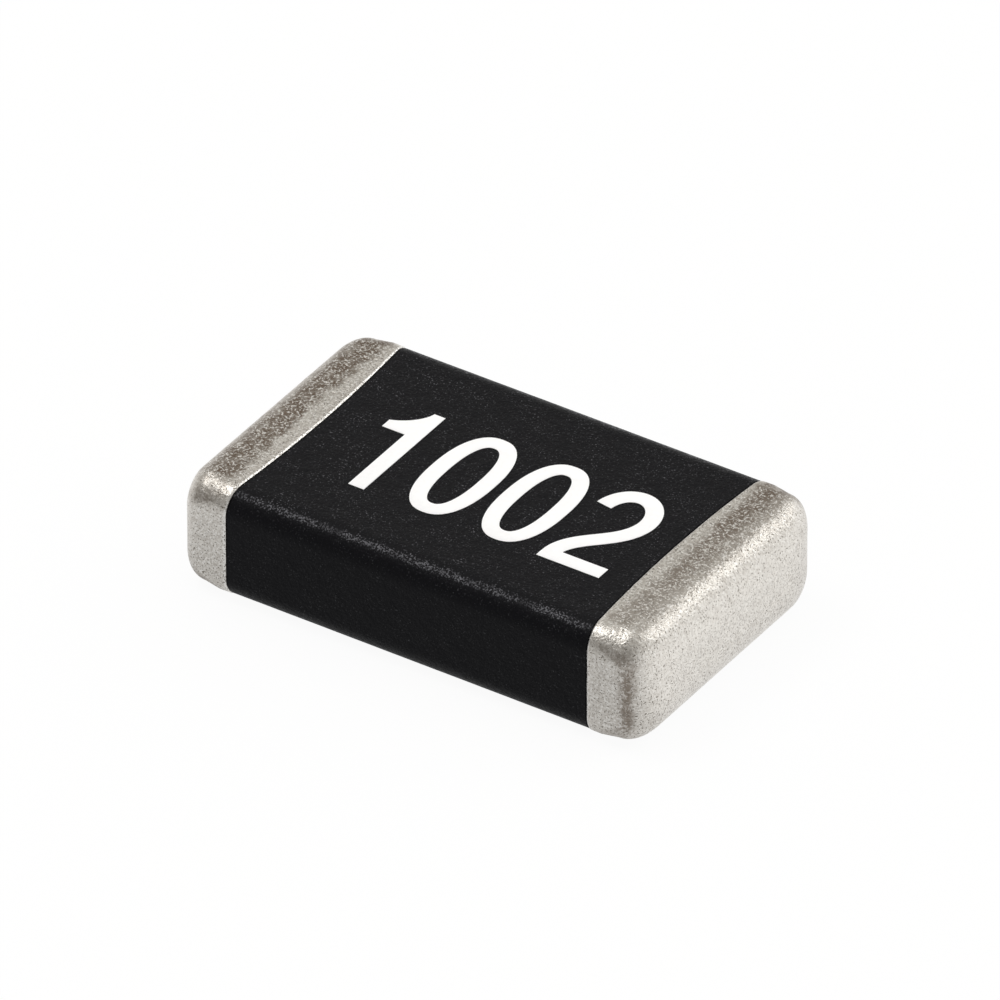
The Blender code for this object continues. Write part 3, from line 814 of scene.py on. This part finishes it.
def ground():
    """White ground sheet: it takes a trace of the chip's shadow, and shows as white to the eye and to glass.
    To the chip it is a glowing sheet with painted shade: dimmer in front, nearer the camera, and close
    beside its ends, and brightest beyond them."""
    studio = bpy.context.scene.chip_studio
    material, tree, place = new_material("white_ground_sheet")
    path = node(tree, "LightPath")
    seen = combine(tree, "MAXIMUM", path.outputs["Is Camera Ray"], path.outputs["Is Transmission Ray"])
    share = node(tree, "MapRange", {"Value": seen, "To Min": 1.0, "To Max": 0.94}).outputs[0]
    along, across = node(tree, "SeparateXYZ", {0: place}).outputs[:2]
    # Painted shade in the ground's glow, seen only by the chip: dimmer close beside its ends and in front
    beside = smooth_step(tree, combine(tree, "ABSOLUTE", along), 0.80, 1.02, 0.93, 1.09)
    shade = combine(tree, "MULTIPLY", smooth_step(tree, across, -0.52, -0.20, 0.68, 1.0), beside)
    tone = node(tree, "MapRange", {"Value": seen, "To Min": shade, "To Max": 1.0}).outputs[0]
    paper = node(tree, "BsdfDiffuse", {"Color": rgba(studio.floor)})
    glow = node(tree, "Emission", {"Color": (1, 1, 1, 1), "Strength": tone})
    both = node(tree, "MixShader", {0: share, 1: paper.outputs[0], 2: glow.outputs[0]})
    finish_material(tree, both)
    return material


def room():
    """Surroundings: white to the eye. To the chip the back is bright low at the right, where its end face
    looks, dimmer above and at the left, and the front, behind the camera, is dim."""
    world = bpy.data.worlds.new("studio_room")
    world.use_nodes = True
    tree = world.node_tree
    tree.nodes.clear()
    direction = node(tree, "TexCoord").outputs["Generated"]
    along, across, up = node(tree, "SeparateXYZ", {0: direction}).outputs
    right = smooth_step(tree, along, -0.40, 0.15)
    low_right = combine(tree, "MULTIPLY", smooth_step(tree, up, 0.50, 0.10), right)
    sky = node(tree, "Mix", {0: low_right, 6: rgba(linear(ROOM_BACK)), 7: rgba(linear(ROOM_LOW_RIGHT))},
               data_type="RGBA")
    front = smooth_step(tree, across, 0.10, -0.45)
    seen = node(tree, "Mix", {0: front, 6: sky.outputs[2], 7: rgba(linear(ROOM_FRONT))}, data_type="RGBA")
    path = node(tree, "LightPath")
    eye = combine(tree, "MAXIMUM", path.outputs["Is Camera Ray"], path.outputs["Is Transmission Ray"])
    color = node(tree, "Mix", {0: eye, 6: seen.outputs[2], 7: (1, 1, 1, 1)}, data_type="RGBA")
    background = node(tree, "Background", {"Color": color.outputs[2], "Strength": 1.0})
    node(tree, "OutputWorld", {"Surface": background.outputs[0]})
    bpy.context.scene.world = world


def softbox(name, direction, size, radiance):
    """A square white lamp that faces the chip. Its power is pi times its area times its radiance."""
    lamp = bpy.data.lights.new(name, "AREA")
    lamp.shape = "SQUARE"
    lamp.size = size
    lamp.energy = math.pi * size * size * radiance
    holder = bpy.data.objects.new(name, lamp)
    bpy.context.scene.collection.objects.link(holder)
    place = Vector(direction).normalized() * LAMP_DISTANCE
    holder.location = place
    holder.rotation_euler = (-place).to_track_quat("-Z", "Y").to_euler()
    return holder


class CHIP_OT_tin_caps(Operator):
    """Makes both plated terminals"""

    bl_idname = "chip.make_tin_caps"
    bl_label = "Make Tin Terminals"

    def execute(self, context):
        material = tin_plate()
        for side, word, seed in ((-1, "left", 1), (1, "right", 21)):
            name = "tin_terminal_" + word
            mesh = grid_mesh(name, *cap_mesh(context.scene.chip_sizes, side, seed))
            cap = new_piece(name, mesh, material)
            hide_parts("tin_cap_" + word)
        return {"FINISHED"}


class CHIP_OT_body_coat(Operator):
    """Makes the black coat between the terminals"""

    bl_idname = "chip.make_body_coat"
    bl_label = "Make Body Coat"

    def execute(self, context):
        points, faces, seam_shadow = coat_mesh(context.scene.chip_sizes, seed=31)
        coat = new_piece("epoxy_sleeve", grid_mesh("epoxy_sleeve", points, faces), epoxy_coat())
        coat.data.attributes.new("seam_shadow", "FLOAT", "POINT").data.foreach_set("value", seam_shadow)
        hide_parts("body_coat")
        return {"FINISHED"}


class CHIP_OT_marking(Operator):
    """Prints a generic value code on the coat"""

    bl_idname = "chip.print_marking"
    bl_label = "Print Value Code"

    def execute(self, context):
        marking = context.scene.chip_marking
        material = marking_ink()
        bed = context.scene.chip_sizes.coat_relief * 2
        thickness = marking.ink_film + bed
        middle = (len(marking.code) - 1) / 2
        for place, digit in enumerate(marking.code):
            if digit not in DIGITS:
                raise ValueError("the marking has no shape for the digit " + digit)
            sizes = [size / MM for size in (marking.digit_width, marking.digit_height, marking.stroke)]
            outlines = DIGITS[digit](*sizes)
            name = f"marking_{place + 1}"
            mesh = plate_mesh(name, outlines, thickness / MM, INK_BEVEL)
            shift = Vector((
                marking.along + (place - middle) * marking.pitch, marking.across,
                COAT_HALF_HEIGHT - bed + thickness / 2))
            mesh.transform(Matrix.Translation(shift) @ Matrix.Scale(MM, 4))
            piece = new_piece(name, mesh, material)
        return {"FINISHED"}


class CHIP_OT_inner_layers(Operator):
    """Gives the printed, dipped and plated layers inside their finishes"""

    bl_idname = "chip.finish_inner_layers"
    bl_label = "Finish Inner Layers"

    def execute(self, context):
        for part, look in INNER_FINISHES.items():
            material = grained_finish(*look)
            layers = [made for name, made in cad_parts.items() if name.startswith(part)]
            if not layers:
                raise ValueError("the packed model has no layer " + part)
            for layer in layers:
                layer.data.materials.clear()
                layer.data.materials.append(material)
        return {"FINISHED"}


class CHIP_OT_stage(Operator):
    """Sets the ground, room, lamps and camera"""

    bl_idname = "chip.set_stage"
    bl_label = "Set Stage"

    def execute(self, context):
        studio = context.scene.chip_studio
        reach = GROUND_REACH
        low = CAD_LOW[2]
        corners = [(-reach, -reach, low), (reach, -reach, low), (reach, reach, low), (-reach, reach, low)]
        mesh = bpy.data.meshes.new("ground_sheet")
        mesh.from_pydata(corners, [], [(0, 1, 2, 3)])
        mesh.materials.append(ground())
        sheet = bpy.data.objects.new("ground_sheet", mesh)
        context.scene.collection.objects.link(sheet)
        room()
        softbox("front_softbox", (-0.45, -0.13, 0.88), 30 * MM, studio.front_lamp)
        softbox("back_softbox", (0.48, 0.69, 0.54), 26 * MM, studio.back_lamp)
        # The sheet lights paint and ink but isn't mirrored, so that the tin's tops stay dark
        sheet_light = softbox("overhead_sheet", (0, 0, 1), 80 * MM, studio.fill_lamp)
        sheet_light.visible_glossy = False
        self.place_camera(context, studio)
        context.scene.view_settings.view_transform = "Standard"
        return {"FINISHED"}

    def place_camera(self, context, studio):
        """Aims along the azimuth and elevation, past a point a little right of and above the middle."""
        turn, lift = studio.azimuth, studio.elevation
        back = Vector((math.sin(turn) * math.cos(lift), -math.cos(turn) * math.cos(lift), math.sin(lift)))
        right = Vector((math.cos(turn), math.sin(turn), 0))
        up = back.cross(right)
        camera = bpy.data.cameras.new("camera")
        camera.sensor_width = SENSOR_WIDTH
        camera.lens = SENSOR_WIDTH * studio.distance / studio.frame_width
        camera.clip_start = 1 * MM
        camera.clip_end = 2000 * MM
        holder = bpy.data.objects.new("camera", camera)
        holder.location = right * studio.aim_right + up * studio.aim_up + back * studio.distance
        holder.rotation_euler = (math.pi / 2 - lift, 0, turn)
        context.scene.collection.objects.link(holder)
        context.scene.camera = holder


class CHIP_PT_looks(Panel):
    """Lists the steps and the values a user would change."""

    bl_label = "Chip Resistor"
    bl_idname = "CHIP_PT_looks"
    bl_space_type = "VIEW_3D"
    bl_region_type = "UI"
    bl_category = "Chip"

    def draw(self, context):
        for step in STEPS:
            self.layout.operator(step.bl_idname)
        for group in GROUPS:
            values = getattr(context.scene, group)
            box = self.layout.box()
            for name in values.bl_rna.properties.keys():
                if name not in ("rna_type", "name"):
                    box.prop(values, name)


STEPS = (CHIP_OT_tin_caps, CHIP_OT_body_coat, CHIP_OT_marking, CHIP_OT_inner_layers, CHIP_OT_stage)
GROUPS = {
    "chip_sizes": ChipSizes,
    "chip_colors": ChipColors,
    "chip_marking": ChipMarking,
    "chip_studio": ChipStudio,
}


def register():
    for group in (*GROUPS.values(), *STEPS, CHIP_PT_looks):
        bpy.utils.register_class(group)
    for name, group in GROUPS.items():
        setattr(bpy.types.Scene, name, PointerProperty(type=group))


def unregister():
    for name in GROUPS:
        delattr(bpy.types.Scene, name)
    for group in (CHIP_PT_looks, *STEPS[::-1], *GROUPS.values()):
        bpy.utils.unregister_class(group)


def main():
    register()
    bpy.ops.chip.make_tin_caps()
    bpy.ops.chip.make_body_coat()
    bpy.ops.chip.print_marking()
    bpy.ops.chip.finish_inner_layers()
    bpy.ops.chip.set_stage()


if __name__ == "__main__":
    main()
